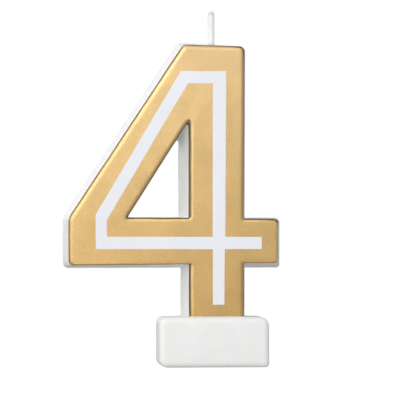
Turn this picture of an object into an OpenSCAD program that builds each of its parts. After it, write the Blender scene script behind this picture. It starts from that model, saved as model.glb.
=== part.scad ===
// A number candle in the shape of a 4. A cast wax numeral has a gold coat on its front with a
// white line in it, a wick down its stem, and a wax foot that it stands in. The front faces -Y,
// the height is along +Z, and the origin is the middle of the foot's underside.

/* [Numeral] */
// Height of the numeral's front top edge above the surface it stands on
numeral_top = 76.2; // [72:0.1:82]
// Thickness from the front face to the back face
numeral_depth = 10; // [9:0.5:12]
// Right side of the stem, from the middle of the foot
stem_right = 7.1; // [6.5:0.1:8]
// Left side of the stem, from the middle of the foot
stem_left = -6.15; // [-7:0.05:-5.5]
// End of the short arm on the right
arm_right = 15.1; // [13:0.1:18]
// Upper side of the crossbar
bar_top = 35.4; // [34:0.1:37]
// Lower side of the crossbar
bar_bottom = 24.1; // [22:0.1:25]
// Left end of the crossbar
bar_left = -34.6; // [-37:0.1:-32]
// Height at which the left end turns into the slanted stroke
slant_low = 35.2; // [34:0.1:37]
// Where the slanted stroke meets the top edge
slant_top_x = -7.45; // [-8.5:0.05:-6]
// Left corner of the triangular opening
hole_left = -20.5; // [-22:0.1:-19]
// Top corner of the triangular opening
hole_top = 58; // [54:0.1:60]
// Growth of the flat sides from front to back, so that the cast leaves its mould
draft = 0.9; // [0.5:0.1:1]
// Growth of the stem's sides from front to back
side_draft = 1.4; // [1:0.1:1.6]
// Growth of the arm's end from front to back
arm_draft = 1.7; // [1:0.1:1.8]
// Radius of the numeral's outer corners
corner_r = 1; // [0.8:0.1:1.2]
// Radius of the rounded front edge
rim_r = 0.8; // [0.6:0.05:0.9]

/* [Gold coat and white line] */
// Thickness of the coat on the front face
coat_t = 0.3; // [0.2:0.05:0.4]
// How far the coat reaches back round the edge
coat_reach = 1; // [0.9:0.05:1.2]
// Thickness of the coat where it covers the edge
coat_side_t = 0.6; // [0.5:0.05:0.7]
// Width of the white line
line_w = 2.9; // [2.5:0.1:3.2]
// Width of the white line at the left end of the crossbar
line_left_w = 2.6; // [2.3:0.1:3]
// Top edge of the white line
line_top = 70; // [69:0.1:71]
// Bottom end of the white line, on the stem
line_bottom = 14.8; // [14:0.1:17]
// Left edge of the white line
line_left = -28; // [-29:0.1:-27]
// Right end of the white line, on the arm
line_right = 11.3; // [10:0.1:12]
// Lower edge of the white line on the crossbar
line_bar_z = 27.95; // [27:0.05:28.5]
// Right edge of the white line at the top of the stem
line_stem_x = 2.75; // [2:0.05:3.5]
// How far the white line on the stem leans to the left on its way down
line_lean = 0.45; // [0:0.05:0.6]
// Height at which the white line turns into the slanted stroke
line_slant_low = 36.1; // [35.5:0.1:37]

/* [Foot] */
// Width of the foot
foot_w = 26.1; // [24:0.1:30]
// Depth of the foot
foot_d = 13; // [12:0.5:18]
// Height of the foot
foot_h = 11.9; // [11:0.1:13]
// Radius of the foot's edges
foot_r = 2; // [1:0.1:2.5]
// How far the numeral's tongue goes down into the foot
tongue_h = 7.4; // [5:0.1:9]

/* [Wick] */
// Diameter of the waxed wick
wick_d = 1.65; // [1.4:0.05:2]
// Diameter of the cotton braid inside the wax
braid_d = 1.2; // [0.8:0.05:1.3]
// Height of the wick's tip above the surface
wick_tip = 84.5; // [82:0.1:90]
// Wick's position across the stem
wick_x = -0.3; // [-1:0.1:1]
// How deep the wick's wax coat goes into the numeral
wick_coat_in = 3; // [2:0.5:5]
// Length of bare braid at the tip
bare_tip = 0.5; // [0.3:0.1:1]

/* [Hidden] */

cream = [0.91, 0.92, 0.91];
gold = [0.83, 0.70, 0.45];
white = [0.92, 0.93, 0.96];
cotton = [0.95, 0.95, 0.94];

round_fn = 24;
thin = 0.01;
far = 200;
front_y = -numeral_depth / 2;
back_y = numeral_depth / 2;
coat_back_y = front_y + coat_reach;
core_front_y = front_y + coat_t;
back_edge = 0.4;
hole_chamfer = 0.6;
tongue_side = 1.2;
tongue_depth = 7;
wick_foot_z = foot_h - tongue_h + 2;

// The slanted stroke's outer side: its slope in x per z, and the stretch of an offset across it.
slant = (slant_top_x - bar_left) / (numeral_top - slant_low);
slant_k = sqrt(1 + slant * slant);
hole_slant = (stem_left - hole_left) / (hole_top - bar_top);
hole_k = sqrt(1 + hole_slant * hole_slant);
line_corner_x = slant_top_x - 0.4;
line_slant = (line_corner_x - line_left) / (line_top - line_slant_low);
line_k = sqrt(1 + line_slant * line_slant);
line_inner_top = line_top - line_w;
line_bar_top = line_bar_z + line_w;

function slant_x(z, grow) = bar_left + (z - slant_low) * slant - grow * slant_k;
function slant_z(x, grow) = slant_low + (x - bar_left + grow * slant_k) / slant;
function hole_x(z, grow) = hole_left + (z - bar_top) * hole_slant + grow * hole_k;
function hole_z(x, grow) = bar_top + (x - hole_left - grow * hole_k) / hole_slant;
// Edges of the white line: on the slanted stroke, and on the leaning stem.
function line_x(z, inset) = line_left + (z - line_slant_low) * line_slant + inset * line_k;
function line_z(x, inset) = line_slant_low + (x - line_left - inset * line_k) / line_slant;
function line_lean_x(z) = line_lean * (1 - pow((z - line_bottom) / (line_top - line_bottom), 0.5));
function line_right_x(z) = line_stem_x - line_lean_x(z);

// The numeral's strokes, grown outwards: side is the growth of the stem's sides and the arm's end.
function slanted_stroke(grow, side) = [
    [slant_x(numeral_top + grow, grow), numeral_top + grow],
    [stem_right + side, numeral_top + grow],
    [stem_right + side, bar_bottom - grow],
    [bar_left - grow, bar_bottom - grow],
    [bar_left - grow, slant_z(bar_left - grow, grow)]];
function arm(grow, side) = [
    [stem_left, bar_bottom - grow], [arm_right + side, bar_bottom - grow],
    [arm_right + side, bar_top + grow], [stem_left, bar_top + grow]];
function stem(side) = [
    [stem_left - side, foot_h - 4], [stem_right + side, foot_h - 4],
    [stem_right + side, bar_top], [stem_left - side, bar_top]];
function opening(grow, side) = [
    [hole_x(bar_top + grow, grow), bar_top + grow],
    [stem_left - side, bar_top + grow],
    [stem_left - side, hole_z(stem_left - side, grow)]];

// A flat shape drawn across X and Z, filling the depth from y0 to y1.
module across(y0, y1) {
    translate([0, y1, 0]) rotate([90, 0, 0]) linear_extrude(y1 - y0) children();
}

module rounded(points, inset) {
    offset(r = corner_r - inset, $fn = round_fn) offset(delta = -corner_r) polygon(points);
}

// One stroke with its rounded front edge and its drafted sides, from the points at the front and
// at the back.
module drafted(front_points, back_points) {
    hull() {
        for (a = [0:30:90])
            let (y = front_y + rim_r * (1 - cos(a)))
                across(y, y + thin) rounded(front_points, rim_r * (1 - sin(a)));
        across(back_y - back_edge - thin, back_y - back_edge) rounded(back_points, 0);
        across(back_y - thin, back_y) rounded(back_points, back_edge);
    }
}

module strokes() {
    drafted(slanted_stroke(0, 0), slanted_stroke(draft, side_draft));
    drafted(arm(0, 0), arm(draft, arm_draft));
    drafted(stem(0), stem(side_draft));
}

// The triangular opening narrows to the back, and its front edge is chamfered.
module opening_cut() {
    hull() {
        across(front_y - thin, front_y) polygon(opening(0, 0));
        across(back_y, back_y + thin) polygon(opening(draft, side_draft));
    }
}

module opening_chamfer() {
    hull() {
        across(front_y - thin, front_y) polygon(opening(-hole_chamfer, -hole_chamfer));
        across(front_y + hole_chamfer, front_y + hole_chamfer + thin) polygon(opening(0, 0));
    }
}

module behind(y) {
    translate([-far / 2, y, -far / 2]) cube([far, far, far]);
}

module above_foot() {
    translate([-far / 2, -far / 2, foot_h]) cube([far, far, far]);
}

// The wax that the coat covers stands forward of the rest, inside the coat's edge.
module front_core() {
    across(core_front_y, coat_back_y + thin) difference() {
        union() {
            polygon(slanted_stroke(-coat_side_t, -coat_side_t));
            polygon(arm(-coat_side_t, -coat_side_t));
            polygon(stem(-coat_side_t));
        }
        polygon(opening(-coat_side_t, -coat_side_t));
    }
}

module tongue(top_z) {
    translate([stem_left + tongue_side, -tongue_depth / 2, foot_h - tongue_h])
        cube([stem_right - stem_left - 2 * tongue_side, tongue_depth, top_z - foot_h + tongue_h]);
}

module wax_numeral() {
    color(cream) difference() {
        union() {
            intersection() {
                difference() {
                    strokes();
                    opening_cut();
                }
                behind(coat_back_y);
                above_foot();
            }
            intersection() {
                front_core();
                above_foot();
            }
            tongue(foot_h + 1);
        }
        translate([wick_x, 0, wick_foot_z]) cylinder(d = braid_d, h = far, $fn = round_fn);
        translate([wick_x, 0, numeral_top - wick_coat_in]) cylinder(d = wick_d, h = far, $fn = round_fn);
    }
}

module rounded_rect(w, h, r) {
    for (x = [r - w / 2, w / 2 - r], y = [r, h - r]) translate([x, y]) circle(r, $fn = 48);
    translate([-w / 2, r]) square([w, h - 2 * r]);
    translate([r - w / 2, 0]) square([w - 2 * r, h]);
}

// Three rounded prisms that cross round every edge of the foot.
module foot_block() {
    color(cream) difference() {
        intersection() {
            across(-foot_d / 2, foot_d / 2) rounded_rect(foot_w, foot_h, foot_r);
            translate([0, -foot_d / 2, 0]) linear_extrude(foot_h) rounded_rect(foot_w, foot_d, foot_r);
            translate([-foot_w / 2, 0, 0]) rotate([90, 0, 90])
                linear_extrude(foot_w) rounded_rect(foot_d, foot_h, foot_r);
        }
        tongue(foot_h + 1);
    }
}

module line_outer() {
    polygon([
        [line_x(line_top, 0), line_top], [line_right_x(line_top), line_top],
        [line_right_x(line_bar_top), line_bar_top], [line_right, line_bar_top],
        [line_right, line_bar_z], [line_right_x(line_bar_z), line_bar_z],
        [line_right_x(line_bottom), line_bottom], [line_right_x(line_bottom) - line_w, line_bottom],
        [line_right_x(line_bar_z) - line_w, line_bar_z], [line_left, line_bar_z],
        [line_left, line_slant_low]]);
}

module line_inner() {
    polygon([
        [line_x(line_inner_top, line_w), line_inner_top],
        [line_right_x(line_top) - line_w, line_inner_top],
        [line_right_x(line_bar_top) - line_w, line_bar_top],
        [line_left + line_left_w, line_bar_top],
        [line_left + line_left_w, line_z(line_left + line_left_w, line_w)]]);
}

module gold_outer_border() {
    color(gold) difference() {
        intersection() {
            strokes();
            above_foot();
        }
        behind(coat_back_y);
        front_core();
        across(front_y - 1, coat_back_y) line_outer();
    }
}

module gold_inner_ring() {
    color(gold) difference() {
        across(front_y, coat_back_y) line_inner();
        opening_cut();
        opening_chamfer();
        front_core();
    }
}

module white_inline_stripe() {
    color(white) across(front_y, core_front_y) difference() {
        line_outer();
        line_inner();
    }
}

module wick_braid() {
    color(cotton) translate([wick_x, 0, wick_foot_z])
        cylinder(d = braid_d, h = wick_tip - wick_foot_z, $fn = round_fn);
}

module wick_wax_coat() {
    coat_z = numeral_top - wick_coat_in;
    color(white) translate([wick_x, 0, coat_z]) difference() {
        cylinder(d = wick_d, h = wick_tip - bare_tip - coat_z, $fn = round_fn);
        translate([0, 0, -1]) cylinder(d = braid_d, h = far, $fn = round_fn);
    }
}

wax_numeral();
foot_block();
gold_outer_border();
gold_inner_ring();
white_inline_stripe();
wick_braid();
wick_wax_coat();
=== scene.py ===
import math

import bmesh
import bpy
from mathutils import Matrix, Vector, noise


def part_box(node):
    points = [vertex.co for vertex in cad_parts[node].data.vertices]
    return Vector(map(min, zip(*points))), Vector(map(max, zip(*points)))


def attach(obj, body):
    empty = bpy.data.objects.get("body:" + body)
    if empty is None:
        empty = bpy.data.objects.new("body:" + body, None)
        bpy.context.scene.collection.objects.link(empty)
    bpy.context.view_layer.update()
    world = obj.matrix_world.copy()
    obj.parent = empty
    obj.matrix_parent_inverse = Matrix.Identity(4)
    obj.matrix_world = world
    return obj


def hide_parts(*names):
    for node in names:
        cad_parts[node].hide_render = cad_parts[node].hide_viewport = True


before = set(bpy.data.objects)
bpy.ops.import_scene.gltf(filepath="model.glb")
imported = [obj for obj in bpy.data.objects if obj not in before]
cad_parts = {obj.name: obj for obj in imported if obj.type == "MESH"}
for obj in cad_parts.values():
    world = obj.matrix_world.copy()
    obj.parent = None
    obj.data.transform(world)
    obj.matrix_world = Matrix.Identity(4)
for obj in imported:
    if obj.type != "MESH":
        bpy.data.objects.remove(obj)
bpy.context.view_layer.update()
mm = 0.001
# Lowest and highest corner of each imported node, in millimetres
boxes = {name: [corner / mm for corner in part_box(name)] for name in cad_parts}
border, ring = boxes["gold_outer_border"], boxes["gold_inner_ring"]
stripe, body, foot = boxes["white_inline_stripe"], boxes["wax_numeral"], boxes["foot_block"]
frontY, armRight, coatY = border[0].y, border[1].x, border[1].y
top, backY, footTop = border[1].z, body[1].y, foot[1].z
noise.seed_set(3)  # the same unevenness in every run
print("frame loaded:", ", ".join(sorted(boxes)))

# Camera, light and floor

cameraSettings = {
    "place": (-65.5, -700.0, 33.2),  # millimetres: a little left, level with the crossbar
    "turn": 5.11,  # degrees to the right
    "tilt": 0.52,  # degrees up
    "lens": 266.0,
    "near": 0.05, "far": 20.0,  # metres
}
lightAim = (-0.005, 0.0, 0.04)  # metres
lightSettings = {  # place and size in metres, power in watts
    "window": {"place": (-0.135, -0.41, 0.145), "size": 0.25, "power": 0.66},
    "brow": {"place": (-0.03, -0.42, 0.27), "size": 0.20, "power": 0.20},
    "left": {"place": (-0.50, -0.10, 0.12), "size": 0.30, "power": 0.32},
    "corner": {"place": (-0.46, -0.08, 0.33), "size": 0.30, "power": 0.13},
    "above": {"place": (-0.04, 0.04, 0.60), "size": 0.30, "power": 0.38},
    "behind": {"place": (-0.25, 0.45, 0.20), "size": 0.35, "power": 0.42},
}
worldSettings = {
    "toBright": (-0.50, -0.83, 0.25),  # direction of the room's bright side
    "dim": 0.40, "middle": 0.52, "bright": 0.63,  # light from the far side, between, and the bright side
    "dimEnd": 0.35, "middleAt": 0.62, "brightEnd": 0.95,  # where they lie on the way round
    "seen": 1.0,  # the plain backdrop
}
floorSettings = {"half": 3.0, "glow": 0.88, "albedo": 0.25, "roughness": 0.9}


def addCamera():
    data = bpy.data.cameras.new("camera")
    data.lens = cameraSettings["lens"]
    data.clip_start, data.clip_end = cameraSettings["near"], cameraSettings["far"]
    camera = bpy.data.objects.new("camera", data)
    camera.location = Vector(cameraSettings["place"]) * mm
    camera.rotation_euler = (math.radians(90 + cameraSettings["tilt"]), 0,
                             math.radians(-cameraSettings["turn"]))
    bpy.context.scene.collection.objects.link(camera)
    bpy.context.scene.camera = camera


def addLights():
    for name, s in lightSettings.items():
        data = bpy.data.lights.new(name, "AREA")
        data.size, data.energy = s["size"], s["power"]
        light = bpy.data.objects.new(name, data)
        light.visible_camera = False
        light.location = s["place"]
        aim = Vector(lightAim) - Vector(s["place"])
        light.rotation_euler = aim.to_track_quat("-Z", "Y").to_euler()
        bpy.context.scene.collection.objects.link(light)


def addWorld():
    world = bpy.data.worlds.new("studio")
    world.use_nodes = True
    bpy.context.scene.world = world
    tree = world.node_tree
    tree.nodes.clear()
    direction = tree.nodes.new("ShaderNodeTexCoord")
    toward = tree.nodes.new("ShaderNodeVectorMath")
    toward.operation = "DOT_PRODUCT"
    toward.inputs[1].default_value = Vector(worldSettings["toBright"]).normalized()
    height = tree.nodes.new("ShaderNodeMapRange")
    height.inputs["From Min"].default_value = -1.0
    ramp = tree.nodes.new("ShaderNodeValToRGB")
    stops = ramp.color_ramp.elements
    stops[0].position, stops[1].position = worldSettings["dimEnd"], worldSettings["brightEnd"]
    middle = stops.new(worldSettings["middleAt"])
    for stop, key in ((stops[0], "dim"), (middle, "middle"), (stops[2], "bright")):
        stop.color = (worldSettings[key],) * 3 + (1.0,)
    path = tree.nodes.new("ShaderNodeLightPath")
    seen = tree.nodes.new("ShaderNodeMixRGB")
    seen.inputs["Color2"].default_value = (worldSettings["seen"],) * 3 + (1.0,)
    background = tree.nodes.new("ShaderNodeBackground")
    output = tree.nodes.new("ShaderNodeOutputWorld")
    link = tree.links.new
    link(direction.outputs["Generated"], toward.inputs[0])
    link(toward.outputs["Value"], height.inputs["Value"])
    link(height.outputs["Result"], ramp.inputs["Fac"])
    link(path.outputs["Is Camera Ray"], seen.inputs["Fac"])
    link(ramp.outputs["Color"], seen.inputs["Color1"])
    link(seen.outputs["Color"], background.inputs["Color"])
    link(background.outputs["Background"], output.inputs["Surface"])


def addFloor():
    bm = bmesh.new()
    bmesh.ops.create_grid(bm, x_segments=1, y_segments=1, size=floorSettings["half"])
    mesh = bpy.data.meshes.new("floor")
    bm.to_mesh(mesh)
    floor = bpy.data.objects.new("floor", mesh)
    bpy.context.scene.collection.objects.link(floor)
    paint = bpy.data.materials.new("paleFloor")
    paint.use_nodes = True
    shader = paint.node_tree.nodes["Principled BSDF"]
    shader.inputs["Base Color"].default_value = (floorSettings["albedo"],) * 3 + (1.0,)
    shader.inputs["Roughness"].default_value = floorSettings["roughness"]
    shader.inputs["Specular IOR Level"].default_value = 0.0
    shader.inputs["Emission Color"].default_value = (1.0, 1.0, 1.0, 1.0)
    shader.inputs["Emission Strength"].default_value = floorSettings["glow"]
    mesh.materials.append(paint)
    floor.visible_diffuse = False
    floor.visible_glossy = False


bpy.context.scene.view_settings.view_transform = "Standard"
addCamera()
addLights()
addWorld()
addFloor()
print("camera, lights and floor made")

# Materials


def newGroup(name, inputs, outputs):
    group = bpy.data.node_groups.new(name, "ShaderNodeTree")
    for label, kind, value in inputs:
        socket = group.interface.new_socket(label, in_out="INPUT", socket_type=kind)
        socket.default_value = value
    for label, kind in outputs:
        group.interface.new_socket(label, in_out="OUTPUT", socket_type=kind)
    return group, group.nodes.new("NodeGroupInput"), group.nodes.new("NodeGroupOutput")


def addNoise(tree, vector, scale, detail):
    node = tree.nodes.new("ShaderNodeTexNoise")
    node.inputs["Detail"].default_value = detail
    tree.links.new(vector, node.inputs["Vector"])
    tree.links.new(scale, node.inputs["Scale"])
    return node.outputs["Fac"]


def addMix(tree, amount, first, second):
    node = tree.nodes.new("ShaderNodeMixRGB")
    for value, socket in ((amount, "Fac"), (first, "Color1"), (second, "Color2")):
        if isinstance(value, tuple):
            node.inputs[socket].default_value = value
        else:
            tree.links.new(value, node.inputs[socket])
    return node.outputs["Color"]


def addRange(tree, value, low, high, toLow=0.0, toHigh=1.0):
    node = tree.nodes.new("ShaderNodeMapRange")
    names = ("From Min", "From Max", "To Min", "To Max")
    for label, amount in zip(names, (low, high, toLow, toHigh)):
        if isinstance(amount, float):
            node.inputs[label].default_value = amount
        else:
            tree.links.new(amount, node.inputs[label])
    tree.links.new(value, node.inputs["Value"])
    return node.outputs["Result"]


mottleSettings = {
    "cloudDetail": 4.0, "cloudLow": 0.35, "cloudHigh": 0.65,
    "grainDetail": 2.0, "grainLow": 0.3, "grainHigh": 0.7,
    "grainShare": 0.35,  # of the height, beside the cloud's
}


def makeMottle():
    # Cloudy tone and slow ripples of a cast or brushed surface, with a fine pit pattern
    s = mottleSettings
    group, given, out = newGroup("mottle", [
        ("Light", "NodeSocketColor", (0.9, 0.9, 0.9, 1)),
        ("Dark", "NodeSocketColor", (0.8, 0.8, 0.8, 1)),
        ("Cloud Scale", "NodeSocketFloat", 150.0),
        ("Grain Scale", "NodeSocketFloat", 2500.0),
        ("Smooth", "NodeSocketFloat", 0.4),
        ("Rough", "NodeSocketFloat", 0.5),
    ], [("Color", "NodeSocketColor"), ("Roughness", "NodeSocketFloat"), ("Height", "NodeSocketFloat")])
    place = group.nodes.new("ShaderNodeTexCoord").outputs["Object"]
    cloud = addNoise(group, place, given.outputs["Cloud Scale"], s["cloudDetail"])
    grain = addNoise(group, place, given.outputs["Grain Scale"], s["grainDetail"])
    soft = addRange(group, cloud, s["cloudLow"], s["cloudHigh"])
    fine = addRange(group, grain, s["grainLow"], s["grainHigh"])
    rough = addRange(group, grain, s["grainLow"], s["grainHigh"], given.outputs["Smooth"],
                     given.outputs["Rough"])
    link = group.links.new
    link(addMix(group, soft, given.outputs["Dark"], given.outputs["Light"]), out.inputs["Color"])
    link(rough, out.inputs["Roughness"])
    add = group.nodes.new("ShaderNodeMath")
    add.operation = "MULTIPLY_ADD"
    add.inputs[1].default_value = s["grainShare"]
    link(fine, add.inputs[0])
    link(soft, add.inputs[2])
    link(add.outputs["Value"], out.inputs["Height"])
    return group


def makeFlake():
    # Fine metal flakes in a satin coat
    group, given, out = newGroup("flake", [
        ("Base", "NodeSocketColor", (0.8, 0.6, 0.3, 1)),
        ("Spark", "NodeSocketColor", (1, 0.9, 0.6, 1)),
        ("Least", "NodeSocketFloat", 0.5),
        ("Scale", "NodeSocketFloat", 4000.0),
        ("Amount", "NodeSocketFloat", 0.2),
    ], [("Color", "NodeSocketColor"), ("Height", "NodeSocketFloat")])
    place = group.nodes.new("ShaderNodeTexCoord").outputs["Object"]
    cells = group.nodes.new("ShaderNodeTexVoronoi")
    link = group.links.new
    link(place, cells.inputs["Vector"])
    link(given.outputs["Scale"], cells.inputs["Scale"])
    split = group.nodes.new("ShaderNodeSeparateColor")
    link(cells.outputs["Color"], split.inputs["Color"])
    spark = addRange(group, split.outputs["Red"], given.outputs["Least"], 1.0, 0.0, given.outputs["Amount"])
    link(addMix(group, spark, given.outputs["Base"], given.outputs["Spark"]), out.inputs["Color"])
    link(split.outputs["Green"], out.inputs["Height"])
    return group


mottle = makeMottle()
flake = makeFlake()


def newMaterial(name, **sockets):
    material = bpy.data.materials.new(name)
    material.use_nodes = True
    shader = material.node_tree.nodes["Principled BSDF"]
    for label, value in sockets.items():
        shader.inputs[label.replace("_", " ")].default_value = value
    return material, material.node_tree, shader


def addGroup(tree, group, **values):
    node = tree.nodes.new("ShaderNodeGroup")
    node.node_tree = group
    for label, value in values.items():
        node.inputs[label.replace("_", " ")].default_value = value
    return node


def addMottle(tree, finish, light, dark):
    return addGroup(tree, mottle, Light=light, Dark=dark, Cloud_Scale=finish["cloud"],
                    Grain_Scale=finish["grain"], Smooth=finish["smooth"], Rough=finish["rough"])


def addBump(tree, height, distance, strength, shader, under=None):
    bump = tree.nodes.new("ShaderNodeBump")
    bump.inputs["Distance"].default_value = distance
    bump.inputs["Strength"].default_value = strength
    tree.links.new(height, bump.inputs["Height"])
    if under:
        tree.links.new(under, bump.inputs["Normal"])
    tree.links.new(bump.outputs["Normal"], shader.inputs["Normal"])
    return bump.outputs["Normal"]


# Each finish: two tones, the scales of cloud and grain, the roughness between two ends, and the
# depth in metres and strength of its ripple
waxFinish = {
    "light": (0.93, 0.935, 0.92, 1), "dark": (0.905, 0.91, 0.89, 1),
    "cloud": 260.0, "grain": 3200.0, "smooth": 0.38, "rough": 0.52, "ripple": 0.00006, "strength": 0.5,
    "depth": 0.0012, "inside": 0.35,  # how far light goes in, and how much of it
}
wickWaxFinish = {
    "light": (0.95, 0.945, 0.94, 1), "dark": (0.93, 0.925, 0.92, 1),
    "cloud": 260.0, "grain": 3200.0, "smooth": 0.38, "rough": 0.52, "ripple": 0.00002, "strength": 0.5,
    "depth": 0.004, "inside": 1.0,
}
goldFinish = {  # painted light: the coat's colour is made paler towards the top, standing in for light falling from above
    "lightLowShaded": (0.575, 0.367, 0.132, 1), "darkLowShaded": (0.531, 0.339, 0.121, 1),
    "lightHighLit": (0.64, 0.448, 0.212, 1), "darkHighLit": (0.592, 0.414, 0.195, 1),
    "cloud": 170.0, "grain": 5200.0, "smooth": 0.36, "rough": 0.50, "ripple": 0.00003, "strength": 0.35,
    "spark": (0.74, 0.56, 0.30, 1), "flakeLeast": 0.55, "flakeScale": 5500.0, "flakeAmount": 0.35,
    "flakeRipple": 0.00001, "flakeStrength": 0.5,
    "edge": (0.22, 0.145, 0.06, 1),  # painted dark reflection along the rim where it rolls back, mixed into the coat's colour
}
lineFinish = {
    "light": (0.86, 0.88, 0.92, 1), "dark": (0.84, 0.855, 0.90, 1),
    "cloud": 120.0, "grain": 4200.0, "smooth": 0.42, "rough": 0.55, "ripple": 0.00002, "strength": 0.3,
}
cottonFinish = {
    "light": (0.93, 0.93, 0.91, 1), "dark": (0.84, 0.84, 0.81, 1),
    "cloud": 1800.0, "grain": 9000.0, "smooth": 0.75, "rough": 0.95, "ripple": 0.00004, "strength": 0.6,
}


def makePlain(name, finish, **sockets):
    # A surface with two tones, an uneven gloss and a faint ripple
    material, tree, shader = newMaterial(name, **sockets)
    look = addMottle(tree, finish, finish["light"], finish["dark"])
    tree.links.new(look.outputs["Color"], shader.inputs["Base Color"])
    tree.links.new(look.outputs["Roughness"], shader.inputs["Roughness"])
    addBump(tree, look.outputs["Height"], finish["ripple"], finish["strength"], shader)
    return material


def makeWax(name, finish):
    return makePlain(name, finish, Subsurface_Weight=finish["inside"], Subsurface_Scale=finish["depth"],
                     Subsurface_Radius=(1.0, 0.9, 0.75), IOR=1.44, Specular_IOR_Level=0.4)


def makeGoldCoat():
    s = goldFinish
    material, tree, shader = newMaterial("satinGold", Metallic=1.0, IOR=1.5, Coat_Weight=0.3,
                                         Coat_Roughness=0.30)
    link = tree.links.new
    place = tree.nodes.new("ShaderNodeSeparateXYZ")
    link(tree.nodes.new("ShaderNodeTexCoord").outputs["Object"], place.inputs["Vector"])
    # painted light: with height the coat's tones go from the lower, shaded pair to the upper, lit pair
    height = addRange(tree, place.outputs["Z"], footTop * mm, top * mm)
    look = addMottle(tree, s, s["lightLowShaded"], s["darkLowShaded"])
    link(addMix(tree, height, s["lightLowShaded"], s["lightHighLit"]), look.inputs["Light"])
    link(addMix(tree, height, s["darkLowShaded"], s["darkHighLit"]), look.inputs["Dark"])
    flecks = addGroup(tree, flake, Spark=s["spark"], Least=s["flakeLeast"], Scale=s["flakeScale"],
                      Amount=s["flakeAmount"])
    link(look.outputs["Color"], flecks.inputs["Base"])
    # painted dark reflection: the marked band of the rim mixes a dark tone into the coat's colour
    edge = tree.nodes.new("ShaderNodeAttribute")
    edge.attribute_name = "paintedDarkRim"
    tone = addMix(tree, edge.outputs["Fac"], flecks.outputs["Color"], s["edge"])
    link(tone, shader.inputs["Base Color"])
    link(look.outputs["Roughness"], shader.inputs["Roughness"])
    under = addBump(tree, look.outputs["Height"], s["ripple"], s["strength"], shader)
    addBump(tree, flecks.outputs["Height"], s["flakeRipple"], s["flakeStrength"], shader, under)
    return material


waxMaterial = makeWax("castWax", waxFinish)
wickWaxMaterial = makeWax("wickWax", wickWaxFinish)
goldMaterial = makeGoldCoat()
lineMaterial = makePlain("whiteLine", lineFinish, Specular_IOR_Level=0.35)
cottonMaterial = makePlain("cotton", cottonFinish, Sheen_Weight=0.2, Specular_IOR_Level=0.2)
print("materials made")

# Shapes drawn across X and Z, in millimetres

numeral = {
    "stemLeft": -5.92, "stemRight": 7.16, "stemRightTop": 7.32, "barTop": 35.38,
    "holeRight": -6.00, "holeLeft": -20.5, "holeTop": 58.2,
    "armDrop": 0.20,  # the arm's top lies this far under the crossbar's inside the opening
    "slantLow": 35.42, "slantTop": -7.29,
    "leftIn": 0.28,  # how far the left end's front edge stands inside the CAD's
    "topLift": 0.08, "dropRight": 0.40,  # the top edge falls from its left end to its right
    "dropBack": 0.25,  # and its right end falls a little more at the back
    "barDrop": 51.9,  # from the top edge to the crossbar's underside
    "sagLeft": 0.20, "liftRight": 0.27,  # the underside's front edge, at its left end and on the arm
    "sunk": 3.0, "coatSunk": 1.0,  # how far the wax and the gold go down into the foot
    # The front swells down gently towards its edge, then rolls back; roll is a share of the rim's reach
    "rimDepth": 1.0, "crown": 0.15, "crownRings": 6, "roll": 0.27,
    "rollTurns": (17, 30, 45, 60, 75, 90),  # degrees turned at each ring of the roll
    "cornerShrink": 0.7, "cornerLeast": 0.25,  # corners get tighter towards the face
    "coat": 0.12,  # thickness of the gold
    "step": 0.12, "stepIn": 0.04, "stepEnd": 0.35,  # the wax just behind the coat's edge
    "sideCuts": (0.35, 0.65), "backRim": 0.6, "backTurns": (0, 22, 45, 67, 90),
    "dish": 0.22,  # hollow of the back face, where the wax shrank
    "dishRipple": 0.05, "dishSize": 6.0,
    "slow": 0.05, "slowSize": 9.0, "fine": 0.035, "fineSize": 3.4,  # unevenness of the cast
    "lip": 0.42, "lipReach": 0.45,  # the arm's upper corner stands out a little at the front
    "lipDrop": 1.15, "lipFade": 1.4, "lipBehind": 0.5, "lipAbove": 1.0,
    "cell": 1.7,  # spacing of the cuts across the faces
}
# Each side: how much bigger the back is, how far in the rounded rim reaches, and how wide the dark
# line is, a dark reflection painted into the coat's colour where the rim rolls back
numeralSides = {
    "top": {"grow": 0.88, "rim": 1.3, "line": 0.24},
    "slant": {"grow": 1.02, "rim": 1.3, "line": 0.26},
    "left": {"grow": 1.05, "rim": 1.1, "line": 0.24},
    "stemLeft": {"grow": 1.35, "rim": 1.1, "line": 0.48},
    "stemRight": {"grow": 1.12, "rim": 1.0, "line": 0.06},
    "armTop": {"grow": 0.22, "rim": 1.0, "line": 0.38},
    "armEnd": {"grow": 1.54, "rim": 0.3, "line": 0.0},
    "under": {"grow": 0.95, "rim": 0.3, "line": 0.0},
    "low": {"grow": 0.0, "rim": 0.5, "line": 0.0},
    "holeLow": {"grow": 0.15, "rim": 1.0, "line": 0.30},
    "holeStem": {"grow": 1.85, "rim": 1.1, "line": 0.66},
    "holeSlant": {"grow": 0.5, "rim": 1.0, "line": 0.26},
}
outerSides = ("top", "stemRight", "armTop", "armEnd", "under", "stemRight", "low", "stemLeft", "under",
              "left", "slant")
outerRadii = (1.4, 1.35, -0.2, 1.1, 0.8, -0.2, 0, 0, -0.2, 1.2, 3.2)  # below zero at an inner corner
holeSides = ("holeLow", "holeStem", "holeSlant")
holeRadii = (-0.2, -0.2, -0.42)
barLeft = border[0].x + numeral["leftIn"]
barBottom = top - numeral["barDrop"]
# In metres: points this near become one, lie on a cut, or share a depth
weld, graze, level = 0.000004, 0.00002, 0.0000001


def offsetSides(corners, moves):
    # Each side goes out to its left by its own move; the new corners are where they meet
    count = len(corners)
    sides = []
    for i, move in enumerate(moves):
        a, b = Vector(corners[i]), Vector(corners[(i + 1) % count])
        run = (b - a).normalized()
        sides.append((a + Vector((-run.y, run.x)) * move, run))
    moved = []
    for i in range(count):
        (p, u), (q, v) = sides[i - 1], sides[i]
        along = (q - p).cross(v) / u.cross(v)
        moved.append(p + u * along)
    return moved


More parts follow.
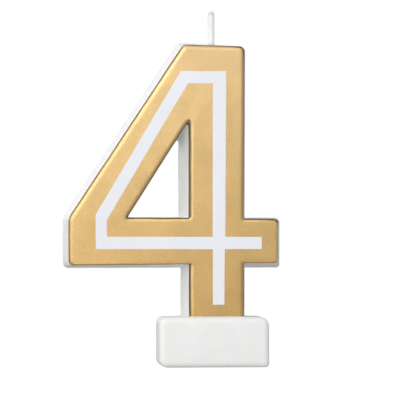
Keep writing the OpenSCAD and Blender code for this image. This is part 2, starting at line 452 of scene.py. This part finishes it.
def drawRing(bm, corners, radii, y, segments=5):
    # A closed loop of edges at one depth, with its corners rounded
    verts = [bm.verts.new((x * mm, y * mm, z * mm)) for x, z in corners]
    face = bm.faces.new(verts)
    count = len(corners)
    for i, vert in enumerate(verts):
        if radii[i] <= 0:
            continue
        into = Vector(corners[i]) - Vector(corners[i - 1])
        out = Vector(corners[(i + 1) % count]) - Vector(corners[i])
        reach = radii[i] * math.tan(into.angle(out) / 2)
        bmesh.ops.bevel(bm, geom=[vert], offset=reach * mm, segments=segments, profile=0.5,
                        affect="VERTICES", material=-1)
    face = [f for f in bm.faces if abs(f.calc_center_median().y - y * mm) < level][-1]
    edges = list(face.edges)
    bmesh.ops.delete(bm, geom=[face], context="FACES_ONLY")
    return edges


def bridgeRings(bm, rings):
    for first, second in zip(rings, rings[1:]):
        bmesh.ops.bridge_loops(bm, edges=first + second)


def fillFlat(bm, edges):
    # Fills a flat region that may have a hole
    bmesh.ops.triangle_fill(bm, use_beauty=True, edges=edges)


def cutGrid(bm, axis, places):
    for place in places:
        point, normal = Vector((0, 0, 0)), Vector((0, 0, 0))
        point[axis], normal[axis] = place * mm, 1.0
        geom = list(bm.verts) + list(bm.edges) + list(bm.faces)
        bmesh.ops.bisect_plane(bm, geom=geom, dist=graze, plane_co=point, plane_no=normal)


def steps(low, high, spacing):
    count = max(1, round((high - low) / spacing))
    return [low + (high - low) * (i + 0.5) / count for i in range(count)]


def lipPush(place):
    # How far to the right the arm's upper front corner stands out
    x, y, z = place / mm
    above = z - numeral["barTop"]
    if y >= coatY + numeral["lipBehind"] or above >= numeral["lipAbove"]:
        return 0
    near = math.exp(-((x - armRight) / numeral["lipReach"]) ** 2)
    return numeral["lip"] * near * min(max(above / numeral["lipDrop"] + numeral["lipFade"], 0), 1)


def unevenness(place):
    # Slow wander and a finer ripple of a hand-finished cast, the same for every piece at one place
    slow = noise.noise_vector(place / (numeral["slowSize"] * mm)) * numeral["slow"]
    fine = noise.noise_vector(place / (numeral["fineSize"] * mm)) * numeral["fine"]
    return (slow + fine + Vector((lipPush(place), 0, 0))) * mm


def finishPiece(name, bm, material, node, sharp=38):
    bmesh.ops.remove_doubles(bm, verts=list(bm.verts), dist=weld)
    bmesh.ops.recalc_face_normals(bm, faces=list(bm.faces))
    mesh = bpy.data.meshes.new(name)
    bm.to_mesh(mesh)
    bm.free()
    mesh.materials.append(material)
    mesh.shade_smooth()
    mesh.set_sharp_from_angle(angle=math.radians(sharp))
    piece = bpy.data.objects.new(name, mesh)
    bpy.context.scene.collection.objects.link(piece)
    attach(piece, "root")
    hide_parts(node)
    print(f"{name}: {len(mesh.polygons)} faces")


def insetOf(side, sink, turn):
    # How far in a ring lies at one side. turn is 0 on the numeral's side and 1 on its front face.
    return sink + (numeralSides[side]["rim"] - sink) * turn


def shapeRing(corners, sides, radii, share, sink, turn):
    # share is 0 at the coat's edge and 1 at the back, where the cast is bigger
    insets = [insetOf(side, sink, turn) for side in sides]
    moves = [numeralSides[side]["grow"] * share - inset for side, inset in zip(sides, insets)]
    rounded = []
    for i, radius in enumerate(radii):
        inset = (insets[i - 1] + insets[i]) / 2
        if radius > 0:
            rounded.append(max(radius - inset * numeral["cornerShrink"], numeral["cornerLeast"]))
        else:
            rounded.append(inset - radius if radius else 0)
    return offsetSides(corners, moves), rounded


def outerCorners(sunk, share=0.0):
    low = footTop - sunk
    sag = numeral["sagLeft"] * (1 - share)
    armLow = barBottom + numeral["liftRight"] * (1 - share)
    left, right, barTop = numeral["stemLeft"], numeral["stemRight"], numeral["barTop"]
    topLeft = top + numeral["topLift"]
    topRight = topLeft - numeral["dropRight"] - numeral["dropBack"] * share
    armTop = barTop - numeral["armDrop"]
    return [
        (numeral["slantTop"], topLeft), (numeral["stemRightTop"], topRight),
        (right, armTop), (armRight, armTop), (armRight, armLow), (right, armLow), (right, low),
        (left, low), (left, barBottom), (barLeft, barBottom - sag), (barLeft, numeral["slantLow"])]


def outerShape(share, sink, turn, sunk):
    return shapeRing(outerCorners(sunk, share), outerSides, outerRadii, share, sink, turn)


def holeCorners():
    return [(numeral["holeLeft"], numeral["barTop"]), (numeral["holeRight"], numeral["barTop"]),
            (numeral["holeRight"], numeral["holeTop"])]


def holeShape(share, sink, turn):
    return shapeRing(holeCorners(), holeSides, holeRadii, share, sink, turn)


lineSettings = {
    # Edges of the upright stroke at its top, above the bar, below the bar and at its foot
    "rights": (2.85, 2.63, 2.53, 2.38), "lefts": (-0.30, -0.37, -0.32, -0.32),
    "slantTop": -7.86, "slantLow": 36.1, "depth": 0.25,
}


def lineShape():
    # The white line's outer and inner outlines
    s = lineSettings
    rights, lefts = s["rights"], s["lefts"]
    width = stripe[1].z - ring[1].z
    barLow = ring[0].z - width
    outer = [
        (s["slantTop"], stripe[1].z), (rights[0], stripe[1].z), (rights[1], ring[0].z),
        (stripe[1].x, ring[0].z), (stripe[1].x, barLow), (rights[2], barLow),
        (rights[3], stripe[0].z), (lefts[3], stripe[0].z), (lefts[2], barLow),
        (stripe[0].x, barLow), (stripe[0].x, s["slantLow"])]
    slope = (s["slantTop"] - stripe[0].x) / (stripe[1].z - s["slantLow"])
    across = width * math.hypot(1, slope)
    inner = [
        (s["slantTop"] + across - width * slope, ring[1].z), (lefts[0], ring[1].z),
        (lefts[1], ring[0].z), (ring[0].x, ring[0].z),
        (ring[0].x, s["slantLow"] + (ring[0].x - stripe[0].x - across) / slope)]
    return outer, inner


lineOuter, lineInner = lineShape()


def rimProfile():
    # Pairs of how far a ring lies in, as a share of the rim's reach, and how deep it lies
    crown, roll, count = numeral["crown"], numeral["roll"], numeral["crownRings"]
    pairs = [(1 - (1 - roll) * i / count, crown * (i / count) ** 2) for i in range(count)]
    first = math.radians(numeral["rollTurns"][0])
    for degrees in numeral["rollTurns"]:
        a = math.radians(degrees)
        share = roll * (1 - math.sin(a)) / (1 - math.sin(first))
        depth = (numeral["rimDepth"] - crown) * (1 - math.cos(a) / math.cos(first))
        pairs.append((share, crown + depth))
    return pairs


gridX = steps(barLeft, armRight, numeral["cell"])
gridZ = steps(footTop, top, numeral["cell"])


def rimRings(bm, shape, sink):
    # Rings that turn from the front face to the side; sink is how far they lie under the coat
    made = []
    for turn, depth in rimProfile():
        corners, radii = shape(sink, turn)
        behind = frontY + sink + depth * (1 - sink / numeral["rimDepth"])
        made.append(drawRing(bm, corners, radii, behind))
    return made


def nearestSide(place, corners, sides):
    # The name of the outline's nearest side, and how far away it is
    best = None
    for i, side in enumerate(sides):
        a, b = Vector(corners[i]), Vector(corners[(i + 1) % len(corners)])
        run = b - a
        share = min(max((place - a).dot(run) / run.length_squared, 0), 1)
        gap = (place - a - run * share).length
        if best is None or gap < best[1]:
            best = (side, gap)
    return best


darkLine = {  # the painted dark line: a dark reflection painted into the coat's colour where the rim rolls back
    "level": 0.02,  # it starts this far behind the front
    "blur": 0.14,
    "wobble": 0.10, "wobbleSize": 2.6,
    "upStem": 0.30, "upStemReach": 3.0,  # the stem's right side gets a wider line near its top
    "swell": 0.45, "armReach": 0.9, "topReach": 1.6,  # and two corners a much wider one
}
lineSwells = (
    (Vector((armRight, numeral["barTop"])), darkLine["armReach"]),
    (Vector((numeral["stemRightTop"], top - numeral["dropRight"])), darkLine["topReach"]),
)


# Marks the band of the rolled rim that gets the painted dark reflection, with a width set for each side
def markPaintedDarkRim(bm, paintedDarkRim, corners, sides):
    s = darkLine
    for vert in bm.verts:
        x, y, z = vert.co / mm
        if y - frontY < s["level"]:
            continue
        place = Vector((x, z))
        side, gap = nearestSide(place, corners, sides)
        line = numeralSides[side]["line"]
        if side == "armEnd" and z > numeral["barTop"] - numeral["lipDrop"]:
            line = numeralSides["armTop"]["line"]
        if side == "stemRight":
            line += s["upStem"] * math.exp((z - top) / s["upStemReach"])
        if line:
            for corner, reach in lineSwells:
                line += s["swell"] * math.exp(-(place - corner).length / reach)
            line += s["wobble"] * noise.noise(vert.co / (s["wobbleSize"] * mm))
            vert[paintedDarkRim] = min(max((line - gap) / s["blur"] + 0.5, 0.0), 1.0)


def wander(bm):
    for vert in bm.verts:
        vert.co += unevenness(vert.co)


def makeCoat(name, node, rimShape, lineOutline, corners, sides):
    # One area of gold: the flat front, the rounded rim, and a thin wall behind both
    bm = bmesh.new()
    # a layer for the painted dark reflection along the rim
    paintedDarkRim = bm.verts.layers.float.new("paintedDarkRim")
    rings = rimRings(bm, rimShape, 0)
    bridgeRings(bm, rings)
    inner = drawRing(bm, lineOutline, [0] * len(lineOutline), frontY)
    fillFlat(bm, rings[0] + inner)
    cutGrid(bm, 0, gridX)
    cutGrid(bm, 2, gridZ)
    bmesh.ops.remove_doubles(bm, verts=list(bm.verts), dist=weld)
    bmesh.ops.recalc_face_normals(bm, faces=list(bm.faces))
    if sum(f.normal.y * f.calc_area() for f in bm.faces) > 0:
        bmesh.ops.reverse_faces(bm, faces=list(bm.faces))
    bm.normal_update()
    markPaintedDarkRim(bm, paintedDarkRim, corners, sides)
    wander(bm)
    bm.normal_update()
    bmesh.ops.solidify(bm, geom=list(bm.faces), thickness=numeral["coat"] * mm)
    finishPiece(name, bm, goldMaterial, node)


def makeGold():
    sunk = numeral["coatSunk"]
    makeCoat("goldBorder", "gold_outer_border", lambda sink, turn: outerShape(0, sink, turn, sunk),
             lineOuter, outerCorners(sunk), outerSides)
    makeCoat("goldRing", "gold_inner_ring", lambda sink, turn: holeShape(0, sink, turn),
             lineInner, holeCorners(), holeSides)


def makeWhiteLine():
    bm = bmesh.new()
    rings = []
    for shape in (lineOuter, lineInner):
        front = drawRing(bm, shape, [0] * len(shape), frontY)
        back = drawRing(bm, shape, [0] * len(shape), frontY + lineSettings["depth"])
        bridgeRings(bm, [front, back])
        rings.append((front, back))
    fillFlat(bm, rings[0][0] + rings[1][0])
    fillFlat(bm, rings[0][1] + rings[1][1])
    cutGrid(bm, 0, gridX)
    cutGrid(bm, 2, gridZ)
    wander(bm)
    finishPiece("whiteLine", bm, lineMaterial, "white_inline_stripe")


def sideRings(bm, shape):
    # From the coat's edge back along the drafted side and round the back edge
    made = []
    span = backY - coatY
    stations = [(coatY + numeral["step"], numeral["stepIn"]), (coatY + numeral["stepEnd"], 0)]
    stations += [(coatY + span * share, 0) for share in numeral["sideCuts"]]
    rim = numeral["backRim"]
    for degrees in numeral["backTurns"]:
        a = math.radians(degrees)
        stations.append((backY - rim * (1 - math.sin(a)), rim * (1 - math.cos(a))))
    for y, inset in stations:
        corners, radii = shape((y - coatY) / span, inset, 0)
        made.append(drawRing(bm, corners, radii, y))
    return made


def dishBack(bm):
    # The back face is a little hollow inside its soft edge
    flat, tolerance = 0.9, 0.01
    for vert in bm.verts:
        if vert.co.y < (backY - tolerance) * mm:
            continue
        if any(abs(f.normal.y) < flat for f in vert.link_faces):
            continue
        ripple = noise.noise(vert.co / (numeral["dishSize"] * mm)) * numeral["dishRipple"]
        vert.co.y -= (numeral["dish"] + ripple) * mm


def makeWaxNumeral():
    bm = bmesh.new()
    loops = []
    for shape in (lambda *place: outerShape(*place, numeral["sunk"]), holeShape):
        front = rimRings(bm, lambda sink, turn: shape(0, sink, turn), numeral["coat"])
        back = sideRings(bm, shape)
        bridgeRings(bm, front + back)
        loops.append((front[0], back[-1]))
    fillFlat(bm, loops[0][0] + loops[1][0])
    fillFlat(bm, loops[0][1] + loops[1][1])
    cutGrid(bm, 0, gridX)
    cutGrid(bm, 2, gridZ)
    bmesh.ops.recalc_face_normals(bm, faces=list(bm.faces))
    bm.normal_update()
    dishBack(bm)
    wander(bm)
    finishPiece("waxNumeral", bm, waxMaterial, "wax_numeral")


footSettings = {
    "round": 1.3, "roundStep": 15,  # radius of the front and back edges, and degrees between rings
    "corners": (1.7, 2.1, 1.0, 2.0),  # upper left, upper right, lower right, lower left
    "cornerLeast": 0.25, "cornerSegments": 6,
    "crown": 0.22,  # swelling of the front and back faces
    "climb": 0.16, "climbReach": 0.5,  # wax that rose against the stem when the foot was cast
    "climbRipple": 0.5, "climbSize": 2.5, "climbBand": 0.05,
    "cell": 1.3, "nearStem": (0.1, 0.25, 0.45, 0.75, 1.2), "stemRoom": 0.7,  # spacing of the cuts
    "trueBelow": 0.3,  # the underside stays flat up to here
}


def footRings(bm, low, high):
    # The block's outline at each depth, smaller towards the front and back faces
    s = footSettings
    corners = [(low.x, high.z), (high.x, high.z), (high.x, low.z), (low.x, low.z)]
    turns = [math.radians(a) for a in range(0, 91, s["roundStep"])]
    pairs = [(s["round"] * (1 - math.cos(a)), s["round"] * (1 - math.sin(a))) for a in turns]
    stations = [(low.y + depth, inset) for depth, inset in pairs]
    stations += [(high.y - depth, inset) for depth, inset in reversed(pairs)]
    rings = []
    for y, inset in stations:
        radii = [max(radius - inset, s["cornerLeast"]) for radius in s["corners"]]
        outline = offsetSides(corners, [-inset] * len(corners))
        rings.append(drawRing(bm, outline, radii, y, s["cornerSegments"]))
    return rings


def climbAt(vert):
    # How far the foot's top rises beside the stem
    s = footSettings
    x, y, z = vert.co / mm
    share = min(max((y - coatY) / (backY - coatY), 0), 1)
    stemLeft = numeral["stemLeft"] - numeralSides["stemLeft"]["grow"] * share
    stemRight = numeral["stemRight"] + numeralSides["stemRight"]["grow"] * share
    gap = math.hypot(max(stemLeft - x, x - stemRight, 0), max(frontY - y, y - backY, 0))
    climb = s["climb"] * (1 + s["climbRipple"] * noise.noise(vert.co / (s["climbSize"] * mm)))
    return climb * math.exp(-gap / s["climbReach"])


def makeFoot():
    s = footSettings
    bm = bmesh.new()
    low, high = foot
    rings = footRings(bm, low, high)
    bridgeRings(bm, rings)
    fillFlat(bm, rings[0])
    fillFlat(bm, rings[-1])
    near, cell = s["nearStem"], s["cell"]
    left, right = numeral["stemLeft"] - s["stemRoom"], numeral["stemRight"] + s["stemRoom"]
    cutGrid(bm, 0, steps(low.x, high.x, cell) + [left - d for d in near] + [right + d for d in near])
    cutGrid(bm, 1, steps(low.y, high.y, cell) + [frontY - d for d in near] + [backY + d for d in near])
    cutGrid(bm, 2, steps(low.z, high.z, cell))
    middle = (low + high) / 2
    half = (high - low) / 2
    for vert in bm.verts:
        x, y, z = vert.co / mm
        across = 1 - ((x - middle.x) / half.x) ** 2
        upright = 1 - ((z - middle.z) / half.z) ** 2
        rise = climbAt(vert) if z > high.z - s["climbBand"] else 0
        vert.co.y += s["crown"] * max(across * upright, 0) * y / half.y * mm
        vert.co.z += rise * mm
        if z > s["trueBelow"]:
            vert.co += unevenness(vert.co)
    finishPiece("waxFoot", bm, waxMaterial, "foot_block")


wickSettings = {
    "segments": 28, "strands": 4, "pitch": 3.4,  # pitch: the rise of half a turn of a strand
    "valley": 0.6,  # level of the weave that keeps the rod's own radius
    "tipRound": 0.45, "tipLeast": 0.2,
    "bend": 0.03, "bendHeight": 8.0,
    "sharp": 60,
}
# relief is the height of the strands, step the spacing of the cuts, softTop the length of the soft tip
rodSettings = {
    "wick_braid": {"relief": 0.09, "step": 0.3, "softTop": 0.25},
    "wick_wax_coat": {"relief": 0.018, "step": 0.16, "softTop": 0.5},
}


def makeRod(node):
    # An upright rod whose surface has two families of strands that cross
    s, rod = wickSettings, rodSettings[node]
    low, high = boxes[node]
    radius = (high.x - low.x) / 2
    centre = (low + high) / 2
    bm = bmesh.new()
    bmesh.ops.create_cone(bm, cap_ends=True, cap_tris=False, segments=s["segments"],
                          radius1=radius * mm, radius2=radius * mm, depth=(high.z - low.z) * mm)
    bmesh.ops.translate(bm, verts=list(bm.verts), vec=centre * mm)
    cutGrid(bm, 2, steps(low.z, high.z, rod["step"]))
    for vert in bm.verts:
        x, y, z = vert.co / mm - Vector((centre.x, centre.y, 0))
        around = s["strands"] * math.atan2(y, x)
        turn = 2 * math.pi * z / s["pitch"]
        weave = max(math.sin(around + turn * 2), math.sin(around - turn * 2))
        size = 1 + rod["relief"] * (weave - s["valley"]) / radius
        rise = (high.z - z) / rod["softTop"]
        if rise < 1:
            size *= math.sqrt(max(1 - (1 - rise) ** 2 * s["tipRound"], s["tipLeast"]))
        sway = s["bend"] * ((z - top) / s["bendHeight"]) ** 2 if z > top else 0
        vert.co.x = (centre.x + x * size + sway) * mm
        vert.co.y = (centre.y + y * size) * mm
    return bm


def makeWick():
    sharp = wickSettings["sharp"]
    finishPiece("wickBraid", makeRod("wick_braid"), cottonMaterial, "wick_braid", sharp)
    finishPiece("wickWax", makeRod("wick_wax_coat"), wickWaxMaterial, "wick_wax_coat", sharp)


makeWaxNumeral()
makeGold()
makeWhiteLine()
makeFoot()
makeWick()
